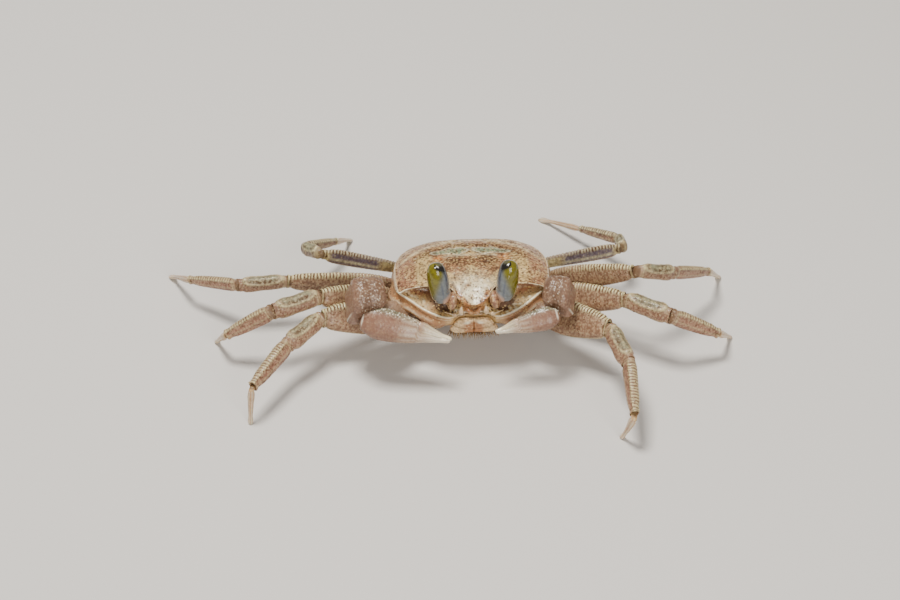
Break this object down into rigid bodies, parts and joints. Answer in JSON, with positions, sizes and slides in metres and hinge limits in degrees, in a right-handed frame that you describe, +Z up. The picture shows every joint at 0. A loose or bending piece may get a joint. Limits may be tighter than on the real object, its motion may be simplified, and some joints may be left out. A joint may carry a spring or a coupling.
{
  "type": "ghost crab",
  "caption": "Small sand-coloured shore crab standing on its leg tips, with a box-shaped back shell, tall eyes, folded unequal claws and flat-bladed walking legs.",
  "frame": {"origin": "middle of the bounding box at floor level, under the body", "axes": "+X towards the crab's left side, along the spread of the legs; -Y the way the crab faces; +Z up"},
  "size_m": [0.0748, 0.0456, 0.016],
  "materials": {
    "carapace": "hard wet shell, mauve and sand brown with cream mottling",
    "underside": "pale cream shell, satin",
    "leg": "grey-brown shell with pale cross lines, wet",
    "rear_leg": "dark violet-brown shell with cream streaks, wet",
    "toe": "pale horny leg tips, nearly clear in life",
    "claw": "pinkish granular shell, wet",
    "finger": "white claw fingers, smooth",
    "eye": "yellow-green to blue-grey compound eye, very glossy",
    "stalk": "pink-cream eye stalk, smooth",
    "mouth": "cream and red-brown jaw plates, wet"
  },
  "bodies": {
    "root": {"carapace": "carapace", "sternum": "underside", "abdomen": "underside", "mouth_plate_left": "mouth", "eye_left": "eye", "eyestalk_left": "stalk", "claw_left_hip": "claw", "claw_left_merus": "claw", "claw_left_carpus": "claw", "claw_left_palm": "claw", "claw_left_finger": "finger", "leg1_left_hip": "leg", "leg1_left_merus": "leg", "leg1_left_carpus": "leg", "leg1_left_propodus": "leg", "leg1_left_dactyl": "toe", "leg2_left_hip": "leg", "leg2_left_merus": "leg", "leg2_left_carpus": "leg", "leg2_left_propodus": "leg", "leg2_left_dactyl": "toe", "leg3_left_hip": "leg", "leg3_left_merus": "leg", "leg3_left_carpus": "leg", "leg3_left_propodus": "leg", "leg3_left_dactyl": "toe", "leg4_left_hip": "rear_leg", "leg4_left_merus": "rear_leg", "leg4_left_carpus": "rear_leg", "leg4_left_propodus": "rear_leg", "leg4_left_dactyl": "toe", "mouth_plate_right": "mouth", "eye_right": "eye", "eyestalk_right": "stalk", "claw_right_hip": "claw", "claw_right_merus": "claw", "claw_right_carpus": "claw", "claw_right_palm": "claw", "claw_right_finger": "finger", "leg1_right_hip": "leg", "leg1_right_merus": "leg", "leg1_right_carpus": "leg", "leg1_right_propodus": "leg", "leg1_right_dactyl": "toe", "leg2_right_hip": "leg", "leg2_right_merus": "leg", "leg2_right_carpus": "leg", "leg2_right_propodus": "leg", "leg2_right_dactyl": "toe", "leg3_right_hip": "leg", "leg3_right_merus": "leg", "leg3_right_carpus": "leg", "leg3_right_propodus": "leg", "leg3_right_dactyl": "toe", "leg4_right_hip": "rear_leg", "leg4_right_merus": "rear_leg", "leg4_right_carpus": "rear_leg", "leg4_right_propodus": "rear_leg", "leg4_right_dactyl": "toe"}
  },
  "joints": []
}
